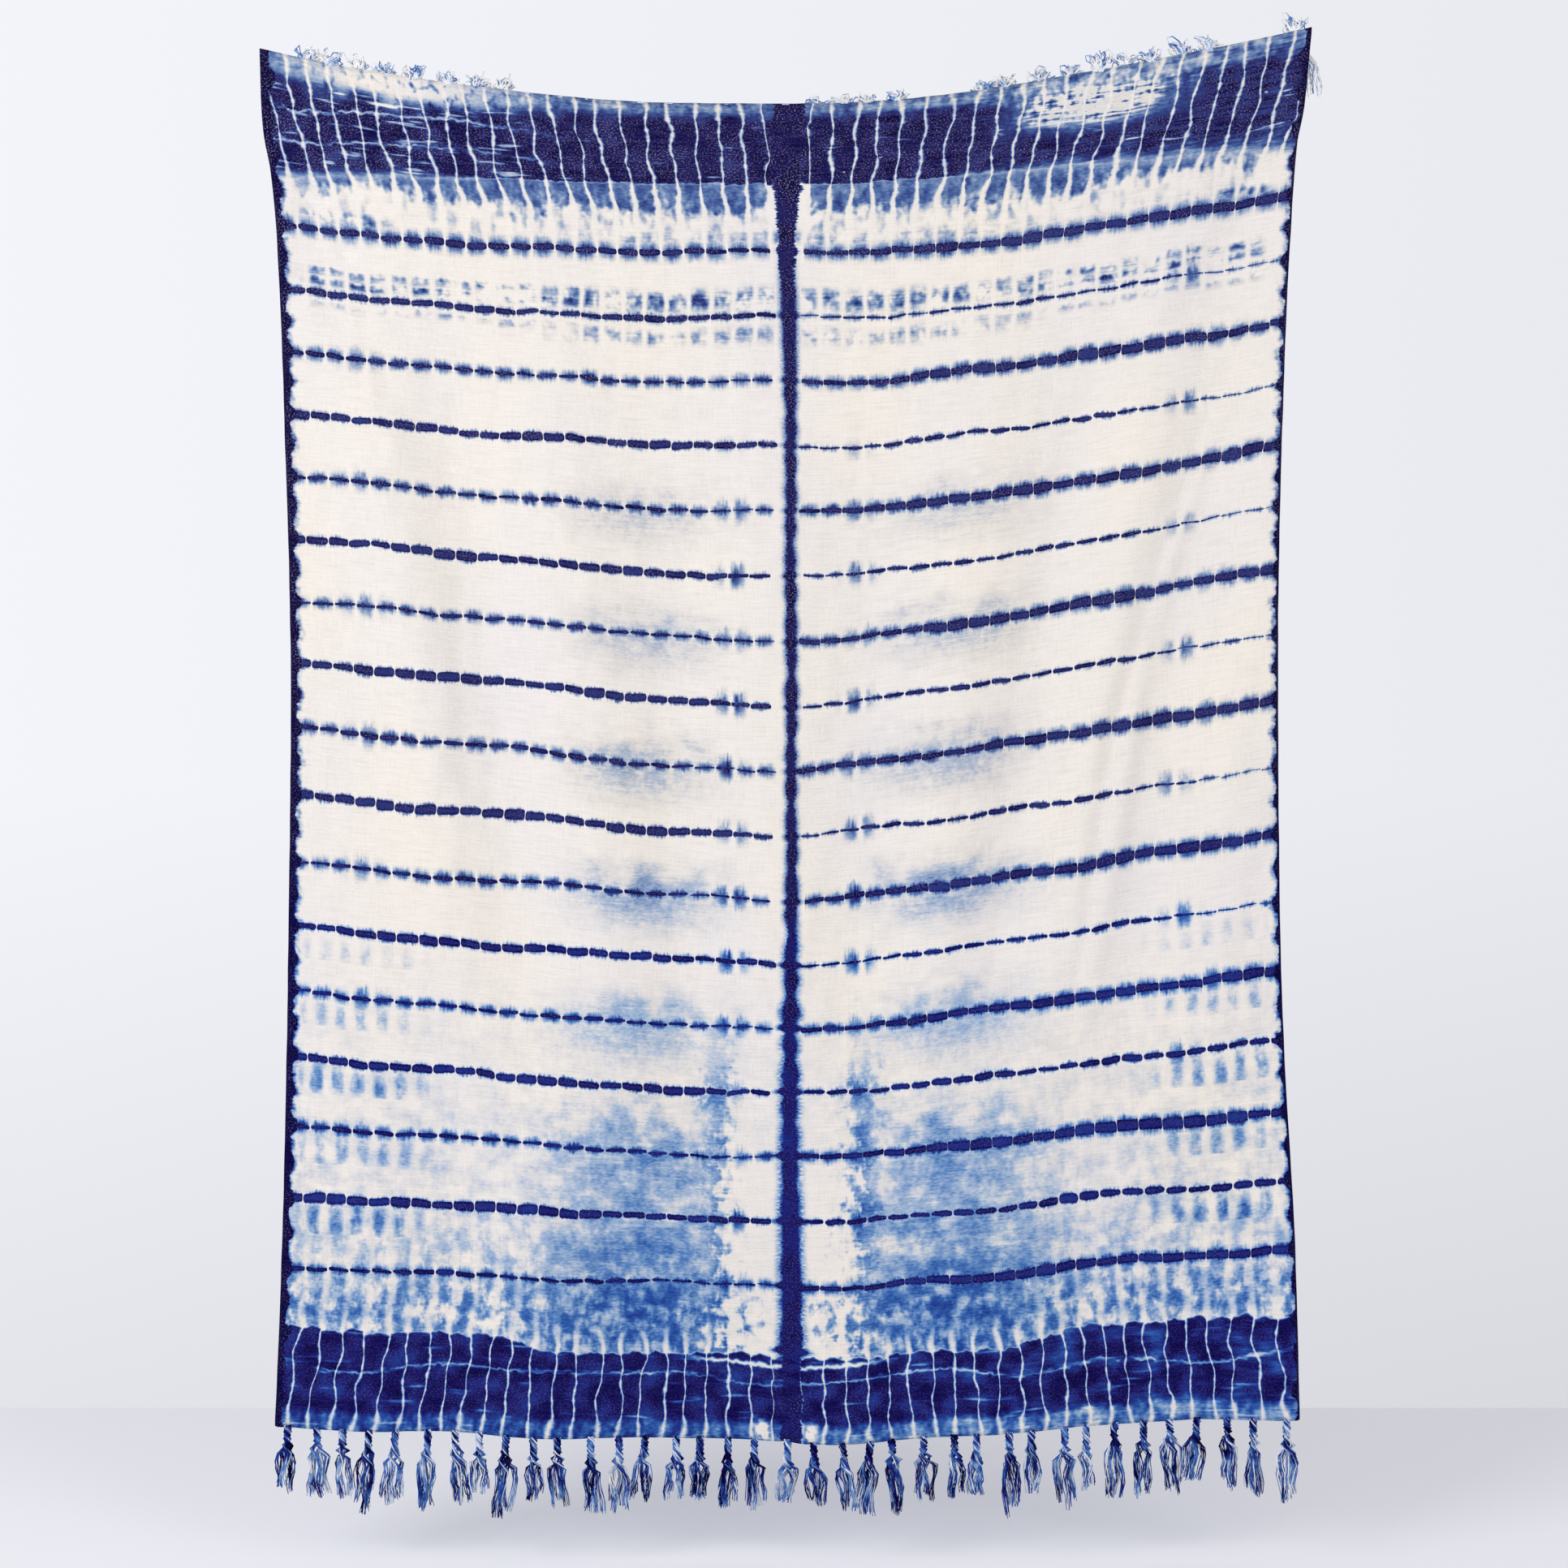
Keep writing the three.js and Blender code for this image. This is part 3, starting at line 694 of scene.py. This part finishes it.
wet = (speckle + 0.5 * patch + 0.1).rise(-0.7, 0.9)
columns = 1 - 0.75 * (1 - bar) * away.rise(240, 330)
last_mottle = (0.56 * last_gap + 0.24 * down.rise(1330, 1450)) * wet * columns
white_strip = (away + 34 * speckle + 8 * blotch + 6 * weft_streak).rise(102, 64)
white_strip = white_strip * down.rise(1210, 1320)
from_loop = ((away - LOOP_ACROSS) ** 2.0 + (down - LOOP_DOWN) ** 2.0 * 0.45) ** 0.5
loops = abs(from_loop - LOOP_RADIUS + blotch * 4).rise(8.0, 0.5) * down.rise(1470, 1484)
loops = loops * (0.22 + 0.26 * patch + 0.40 * speckle).most(0.0)
clouds = lower.cloud()
wash = clouds + haze + last_mottle.most(blots)
teeth = lower.to_pleat_line.rise(6.0, 1.0) * down.rise(1508, 1545)
wash = wash / (1 + 0.75 * wash) * (1 - (0.88 + 0.1 * blotch) * white_strip) * (1 - 0.85 * teeth)
amount = amount.most(wash).most(loops).most(edge_bleed)

end_edge = LOWER_BAND - LOWER_BAND_RISE * away.rise(270, 380) + blotch * 1.6
end_edge = end_edge + off_pleat * 8 + (lower.shift - 0.5) * 5
solid_end = down.rise(end_edge - 2.2, end_edge + 2.2)
line_wear = lower.mottle(15, 9, 9)
hem = down.rise(LOWER_HEM + 3 * blotch, LOWER_HEM + 13)
line = lower.to_pleat_line.rise(2.0 + 1.2 * line_wear + 3.2 * hem, 0.1) * past_core
drift = lower.mottle(170, 300, 10, 0.0) * 12
streaks = lower.mottle(70, 8.0, 11)
crease_line = (down - LOWER_CREASE - drift + blotch * 2.2).hump(0.0, 3.4 + 2.2 * line_wear)
creases = crease_line * (0.72 + 0.9 * streaks).held()
creases = creases.most((streaks + 0.2 * patch).rise(0.5, 1.25) * 0.8)
middle_crease = (down - MIDDLE_CREASE + 0.06 * away + blotch * 2).hump(0.0, 5)
middle_crease = middle_crease * away.rise(150, 90)
creases = creases.most(1.5 * middle_crease)
brighter = (0.15 + 0.13 * across.rise(100, 300)) * (patch + 0.5 * weft_streak + 0.3).most(0.0)
knots = away.hump(KNOT_ACROSS + 6 * blotch, 15) * (down + 5 * blotch).hump(KNOT_DOWN, 20)
tone = 0.95 - brighter - (0.24 + 0.14 * across.rise(-250, 150) - 0.15 * blotch) * hem
tone = tone + 0.04 * weft_streak - 0.55 * creases - 0.9 * knots
solid = (tone * (1 - (0.84 + 0.14 * line_wear) * line)).most(0.0) * solid_end
lower.surface((amount * (1 - solid_end)).most(solid).most(core))
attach(cloth, "root")
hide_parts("cloth")

# The fringes: the warp ends past the weave, gathered into 37 twisted tassels at each end. Below they
# hang straight, and above they stand up a little, fall over the hem and hang behind the cloth.
TASSELS = 37
FRINGE_LENGTH = 0.095
OUTERMOST_ROOT = HALF_WIDTH - 0.020
ROOT_JITTER = 0.010
ROOT_DEPTH = 0.0028
THREADS_BELOW = 46
THREADS_ABOVE = 26
THREAD_RADIUS = 0.00070
RING_POINTS = 4

# A lower tassel: its twisted neck, then the loose clumps of its body
NECK_LENGTH = 0.016
NECK_RADIUS = 0.0031
BODY_RADIUS = 0.0080
CLUMPS = 5
CLUMP_RADIUS = 0.0020
WAVINESS = 0.0022
THREAD_WAVINESS = 0.0011

# A thread's points down a lower tassel: from 0 to 1 in the neck, and past 1 in the body
STATIONS = (0, 0.25, 0.5, 0.75, 1, 1.5, 2.1, 2.7, 3.3, 3.9, 4.6)

# An upper tassel: how far it stands up, and how far behind the cloth it hangs
STAND = 0.005
STAND_GROWTH = 0.009
FLAT_STAND = 0.003
BEHIND = 0.009
CREST_STEPS = 9
DROP_SHARES = (0.14, 0.3, 0.5, 0.7, 0.86, 1.0)

# Stretches of the top edge where the tassels stand up as fluffy tufts, and a tassel's thickness,
# its threads' rise and spread over the hem, and their curls there, in a tuft and elsewhere
FLUFFY_PLACES = ((-0.630, -0.340), (0.030, 0.150), (0.245, 0.540), (0.615, 0.640))
TUFT = {"radius": 0.0058, "loft": 0.012, "aside": 0.018, "curl": 0.0032}
FLAT = {"radius": 0.0040, "loft": 0.001, "aside": 0.004, "curl": 0.0}

# Tassels that lean to one side: how far their lower ends stand aside
LEAN_BELOW = {20: 0.008, 21: -0.008}
LEAN_ABOVE = {36: 0.024}

# How much paler than the cloth the upper tassels are, and the few pale ones below; then the shares of
# the lower tassels and of all threads that took the dye fully
UPPER_PALENESS = 0.70
LOWER_PALENESS = 0.22
FULLY_DYED_TASSELS = 0.78
FULLY_DYED_THREADS = 0.82


def tassel_across(index, salt):
    """Where a tassel leaves the end of the weave."""
    even = -OUTERMOST_ROOT + 2 * OUTERMOST_ROOT * index / (TASSELS - 1)
    return even if index in (0, TASSELS - 1) else even + ROOT_JITTER * (uneven(index, salt) - 0.5)


def wander(thread, steps, salt, least=1.2, extra=1.8):
    """A thread's own wandering from side to side along its length, from about -1 to 1."""
    along = np.linspace(0, 1, steps)
    bends = least + extra * uneven(thread, salt)
    return np.sin(2 * math.pi * (bends * along + uneven(thread, salt + 1)))


def lower_threads(index):
    """The threads of one lower tassel: twisted together in the neck, then in a few loose clumps."""
    root = drape(tassel_across(index, 1), WEAVE_LENGTH + ROOT_DEPTH)
    neck = NECK_LENGTH + 0.008 * uneven(index, 2)
    length = FRINGE_LENGTH * (0.84 + 0.3 * uneven(index, 3))
    lean = LEAN_BELOW.get(index, 0.012 * (uneven(index, 4) - 0.5))
    turns = 0.6 + 0.4 * uneven(index, 30)
    body_turns = 0.35 + 0.5 * uneven(index, 42)
    body_width = BODY_RADIUS + 0.0030 * uneven(index, 36)
    stations = np.array(STATIONS)
    body_share = (stations - 1) / (STATIONS[-1] - 1)
    fall = np.where(stations < 1, stations * neck, neck + body_share * (length - neck))
    free = smooth(neck * 0.8, neck * 2.2, fall)
    paths = []
    for k in range(THREADS_BELOW):
        thread = index * 61 + k
        clump = index * CLUMPS + k % CLUMPS
        angle = 2 * math.pi * ((k % CLUMPS) / CLUMPS + 0.12 * uneven(clump, 43))
        twist = angle + 2 * math.pi * (turns * np.minimum(fall / neck, 1) + body_turns * free)
        clump_out = body_width * (0.5 + 0.7 * uneven(clump, 44))
        out = NECK_RADIUS + (clump_out - NECK_RADIUS) * free
        own_angle = 2 * math.pi * uneven(thread, 31) + twist
        own_out = math.sqrt(uneven(thread, 32)) * (CLUMP_RADIUS + 0.0016 * free)
        stray = (uneven(thread, 34) > 0.86) * 0.006 * (uneven(thread, 35) - 0.5)
        end = (0.80 + 0.20 * uneven(clump, 45)) * (1 - 0.10 * uneven(thread, 33))
        path = np.zeros((len(fall), 3))
        path[:, 0] = out * np.cos(twist) + own_out * np.cos(own_angle) + stray * free * fall / length
        path[:, 1] = (out * np.sin(twist) + own_out * np.sin(own_angle)) * 0.8
        path[:, 0] += lean * fall / length + WAVINESS * wander(clump, len(fall), 46) * free
        path[:, 0] += THREAD_WAVINESS * wander(thread, len(fall), 38, 1.6, 1.6) * free
        path[:, 1] += THREAD_WAVINESS * wander(thread, len(fall), 40, 1.6, 1.6) * free
        path[:, 2] = -np.where(fall < neck, fall, neck + (fall - neck) * end)
        paths.append(path + root)
    return paths


def upper_threads(index):
    """The threads of one upper tassel: up from the hem, over it, and down behind the cloth."""
    across_at = tassel_across(index, 8)
    root = drape(across_at, -ROOT_DEPTH)
    fall = drape(across_at, -ROOT_DEPTH + 0.001) - drape(across_at, -ROOT_DEPTH - 0.001)
    fall = fall / np.linalg.norm(fall)
    outward = float(smooth(0.1, 0.7, abs(across_at) / HALF_WIDTH))
    stand = STAND + STAND_GROWTH * uneven(index, 9) * outward
    over = BEHIND + 0.003 * uneven(index, 10)
    drop = FRINGE_LENGTH * (0.84 + 0.28 * uneven(index, 11)) - stand - over
    fluffy = any(low < across_at < high for low, high in FLUFFY_PLACES)
    form = TUFT if fluffy else FLAT
    lean = LEAN_ABOVE.get(index, 0.005 * (uneven(index, 12) - 0.5))
    if not fluffy:
        stand = FLAT_STAND
    paths = []
    for k in range(THREADS_ABOVE):
        thread = index * 53 + k
        angle = 2 * math.pi * uneven(thread, 51)
        radius = math.sqrt(uneven(thread, 52)) * form["radius"]
        own_end = 1 - 0.25 * uneven(thread, 53)
        side = (uneven(thread, 54) + uneven(thread, 55) - 1) * 0.012
        own_stand = stand * (0.5 + 1.0 * uneven(thread, 59)) if fluffy else stand
        loft = form["loft"] * uneven(thread, 56) ** 2
        aside = (uneven(thread, 60) + uneven(thread, 61) - 1) * form["aside"]
        behind_y = max(root[1] - fall[1] * own_stand + 0.003, root[1] + over)
        points = []
        for turn in np.linspace(0, math.pi, CREST_STEPS):
            arch = math.sin(turn)
            curl_angle = 3.4 * turn + 2 * math.pi * uneven(thread, 62)
            curl = form["curl"] * arch
            back = (behind_y - root[1]) * (1 - math.cos(turn)) / 2
            up = loft * arch - 0.001 * turn + curl * math.sin(curl_angle)
            bow = (aside * arch + curl * math.cos(curl_angle), back, up)
            points.append(root - fall * own_stand * arch**0.8 + bow)
        for share in DROP_SHARES:
            on_cloth = drape(across_at, drop * share * own_end)
            behind = max(on_cloth[1] + over, behind_y)
            points.append((root[0] + lean * min(2 * share, 1), behind, on_cloth[2]))
        path = np.array(points)
        steps = len(path)
        over_step = CREST_STEPS - 1
        step = np.arange(steps)
        spread = np.interp(step, [0, over_step, over_step + 3, steps - 1], [0, 0.15, 0.9, 1.15])
        twist = angle + np.minimum(step, over_step) * 0.8
        path[:, 0] += np.cos(twist) * radius + side * spread
        path[:, 1] += np.abs(np.sin(twist)) * radius * (step >= over_step)
        path[:, 0] += WAVINESS * wander(thread, steps, 58) * (spread > 0.2)
        paths.append(path)
    return paths


def fringe_piece(name, threads_of):
    """All the tassels of one end, as fine tubes in one mesh, with each point's share of dye."""
    lines = bpy.data.curves.new(name, "CURVE")
    lines.dimensions = "3D"
    lines.bevel_depth = THREAD_RADIUS
    lines.bevel_resolution = 0
    dyed = []
    for index in range(TASSELS):
        is_lower = threads_of is lower_threads
        paleness = UPPER_PALENESS
        if is_lower:
            paleness = LOWER_PALENESS * (uneven(index, 71) > FULLY_DYED_TASSELS)
        for k, path in enumerate(threads_of(index)):
            steps = len(path)
            line = lines.splines.new("POLY")
            line.points.add(steps - 1)
            line.points.foreach_set("co", np.c_[path, np.ones(steps)].ravel())
            along = np.linspace(0, 1, steps)
            line.points.foreach_set("radius", 1.25 - 0.55 * along)
            clump = index * CLUMPS + k % CLUMPS
            bands = np.sin(2 * math.pi * (along * (0.8 + uneven(clump, 72)) + uneven(clump, 73)))
            own = 0.5 * uneven(index * 61 + k, 74) + uneven(clump, 76) - 0.75
            share = 0.85 + 0.24 * bands + 0.36 * own - paleness
            bare = uneven(index * 61 + k, 75) > FULLY_DYED_THREADS
            share = share - 0.55 * bare - 0.12 * is_lower * along**2
            dyed.append(np.repeat(share, RING_POINTS))
    holder = bpy.data.objects.new(name, lines)
    bpy.context.scene.collection.objects.link(holder)
    bpy.context.view_layer.update()
    shown = holder.evaluated_get(bpy.context.evaluated_depsgraph_get())
    mesh = bpy.data.meshes.new_from_object(shown)
    bpy.data.objects.remove(holder)
    mesh.name = name
    tubes = bmesh.new()
    tubes.from_mesh(mesh)
    open_ends = [edge for edge in tubes.edges if edge.is_boundary]
    bmesh.ops.holes_fill(tubes, edges=open_ends, sides=RING_POINTS)
    tubes.to_mesh(mesh)
    tubes.free()
    dyed = np.concatenate(dyed)
    if len(dyed) != len(mesh.vertices):
        raise ValueError(f"{name}: {len(mesh.vertices)} points for {len(dyed)} shares of dye")
    attribute = mesh.attributes.new("dyed", "FLOAT", "POINT")
    attribute.data.foreach_set("value", dyed.astype(np.float32))
    mesh.shade_smooth()
    piece = bpy.data.objects.new(name, mesh)
    bpy.context.scene.collection.objects.link(piece)
    return piece


# The yarn: each thread's own dye, broken by short pale lengths, on matt twisted cotton
WHITE_YARN = shade("f8f6f4")
yarn = Finish(bpy.data.materials.new("fringe_yarn"))
yarn_place = yarn.node("TexCoord", {}, {}, output=3)
patchy = {"Vector": yarn_place, "Scale": 70.0, "Detail": 2.0}
yarn_noise = yarn.node("TexNoise", {"noise_dimensions": "3D"}, patchy)
yarn_dyed = yarn.node("Attribute", {"attribute_name": "dyed"}, {}, output=2)
yarn_amount = yarn_dyed + (yarn_noise - 0.5) * 1.2
yarn_blue = yarn.ramp(yarn_amount, DEEP_BLUES)
yarn_colour = yarn.mix("MULTIPLY", 1.0, WHITE_YARN, yarn_blue)
fine = {"Vector": yarn_place, "Scale": 900.0, "Detail": 1.0}
fibres = yarn.node("TexNoise", {"noise_dimensions": "3D"}, fine)
yarn_bump = yarn.node("Bump", {}, {"Strength": 0.3, "Distance": 0.0004, "Height": fibres})
yarn_values = {"Base Color": yarn_colour, "Roughness": COTTON_ROUGHNESS, "Specular IOR Level": 0.0}
yarn_values["Normal"] = yarn_bump
yarn.node("OutputMaterial", {}, {"Surface": yarn.node("BsdfPrincipled", {}, yarn_values)})

fringe_bottom = fringe_piece("fringe_threads_bottom", lower_threads)
fringe_top = fringe_piece("fringe_threads_top", upper_threads)
for fringe, solid in ((fringe_bottom, "fringe_bottom"), (fringe_top, "fringe_top")):
    fringe.data.materials.clear()
    fringe.data.materials.append(yarn.block)
    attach(fringe, "root")
    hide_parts(solid)

# The studio: a pale floor in front of an evenly bright background, a broad soft light from the front
# and left, a weaker one from the right, and an even light from all round.
FLOOR_HEIGHT = -1.80
FLOOR_BEHIND = 0.75
FLOOR_SIZE = 8.0
FLOOR_COLOUR = shade("fbfbfe")
GLOW_COLOUR = shade("f4f5fb")
GLOW_AROUND = 0.54
GLOW_BEHIND = 0.41
GLOW_FALL_TO_RIGHT = 0.15
GLOW_FALL_BELOW = 0.6
stage_bm = bmesh.new()
bmesh.ops.create_grid(stage_bm, x_segments=1, y_segments=1, size=FLOOR_SIZE / 2)
floor_centre = (0, FLOOR_BEHIND - FLOOR_SIZE / 2, FLOOR_HEIGHT)
bmesh.ops.translate(stage_bm, vec=floor_centre, verts=stage_bm.verts)
stage_mesh = bpy.data.meshes.new("studio_floor")
stage_bm.to_mesh(stage_mesh)
stage_bm.free()
studio_floor = bpy.data.objects.new("studio_floor", stage_mesh)
bpy.context.scene.collection.objects.link(studio_floor)
paper = Finish(bpy.data.materials.new("studio_paper"))
paper_values = {"Base Color": FLOOR_COLOUR, "Specular IOR Level": 0.0}
paper_shader = paper.node("BsdfPrincipled", {}, paper_values)
paper.node("OutputMaterial", {}, {"Surface": paper_shader})
stage_mesh.materials.append(paper.block)

# The even light is brightest behind the cloth, a little more so on the left
around = Finish(bpy.data.worlds.new("even_light"))
toward = around.node("TexCoord", {}, {}, output=0)
toward_parts = [around.node("SeparateXYZ", {}, {"Vector": toward}, output=i) for i in range(3)]
toward_right, toward_back, toward_top = toward_parts
behind_cloth = GLOW_BEHIND - GLOW_FALL_TO_RIGHT * toward_right
behind_cloth = behind_cloth + GLOW_FALL_BELOW * toward_top.least(0.0)
brightness = GLOW_AROUND + toward_back.rise(0.1, 0.7) * behind_cloth
glow = around.node("Background", {}, {"Color": GLOW_COLOUR, "Strength": brightness})
around.node("OutputWorld", {}, {"Surface": glow})
bpy.context.scene.world = around.block


def soft_light(name, place, aim, size, power):
    """A square soft light that faces a point."""
    lamp = bpy.data.lights.new(name, "AREA")
    lamp.size = size
    lamp.energy = power
    light = bpy.data.objects.new(name, lamp)
    light.location = place
    toward = Vector(aim) - Vector(place)
    light.rotation_euler = toward.to_track_quat("-Z", "Y").to_euler()
    bpy.context.scene.collection.objects.link(light)


CLOTH_MIDDLE = (0, 0, -0.85)
soft_light("light_front_left", place=(-2.9, -2.7, 0.8), aim=CLOTH_MIDDLE, size=2.2, power=78)
soft_light("light_right", place=(2.8, -3.0, 0.2), aim=CLOTH_MIDDLE, size=2.0, power=38)
bpy.context.scene.view_settings.view_transform = "Standard"

# The camera looks level at the middle of the cloth, from 3 m away, as in the photograph. Its lens is
# worked out from the width of the view at the cloth.
CAMERA_DISTANCE = 3.0
CAMERA_HEIGHT = -0.839
VIEW_WIDTH = 1.932
SENSOR_WIDTH = 36.0
camera_data = bpy.data.cameras.new("camera")
camera_data.sensor_width = SENSOR_WIDTH
camera_data.lens = SENSOR_WIDTH * CAMERA_DISTANCE / VIEW_WIDTH
camera = bpy.data.objects.new("camera", camera_data)
camera.location = (0, -CAMERA_DISTANCE, CAMERA_HEIGHT)
camera.rotation_euler = (math.pi / 2, 0, 0)
bpy.context.scene.collection.objects.link(camera)
bpy.context.scene.camera = camera
